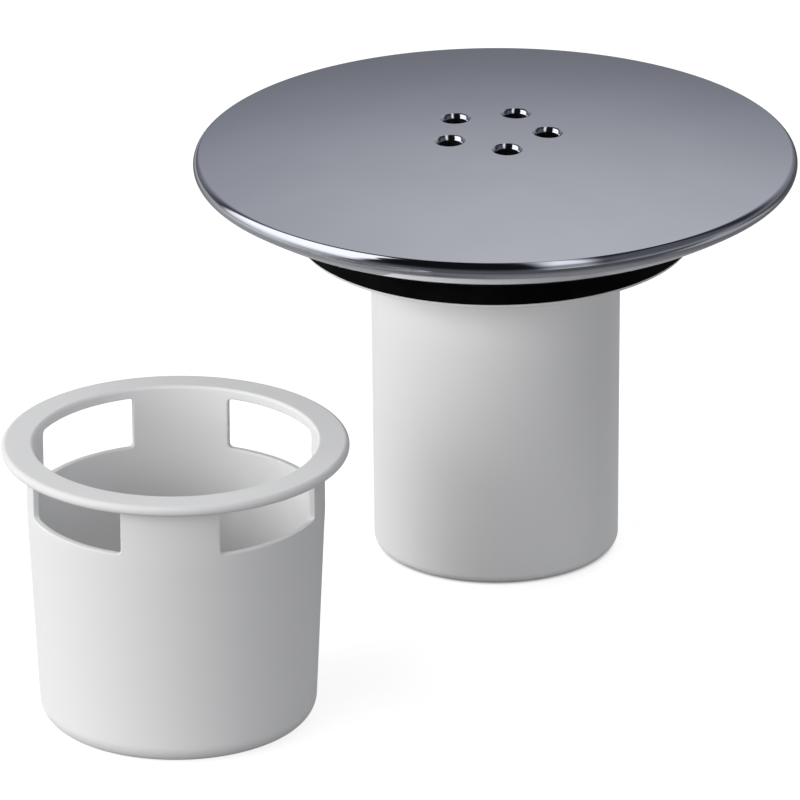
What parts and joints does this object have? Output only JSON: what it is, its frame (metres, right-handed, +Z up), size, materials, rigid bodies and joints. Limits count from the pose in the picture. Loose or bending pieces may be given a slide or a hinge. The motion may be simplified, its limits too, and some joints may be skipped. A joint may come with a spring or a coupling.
{
  "type": "shower drain insert",
  "caption": "Domed chromed drain cap with drain holes on a white dip tube with a black seal ring, and a white cup with windows under its rim standing beside it.",
  "frame": {"origin": "under the middle of the set's bounding box, on the surface that the dip tube's foot and the cup's base stand on", "axes": "+Z up along the axes of the cap, the dip tube and the cup; the cup stands towards -X and -Y of the cap"},
  "size_m": [0.1496, 0.1712, 0.084],
  "materials": {
    "chrome_plate": "bright chrome plate, brushed to a soft sheen on the dome",
    "seal_rubber": "smooth black rubber",
    "tube_plastic": "moulded white polypropylene with a soft sheen",
    "cup_plastic": "moulded white polypropylene with a soft sheen"
  },
  "bodies": {
    "root": {"cap": "chrome_plate", "seal_ring": "seal_rubber", "dip_tube": "tube_plastic", "cup": "cup_plastic"}
  },
  "joints": []
}
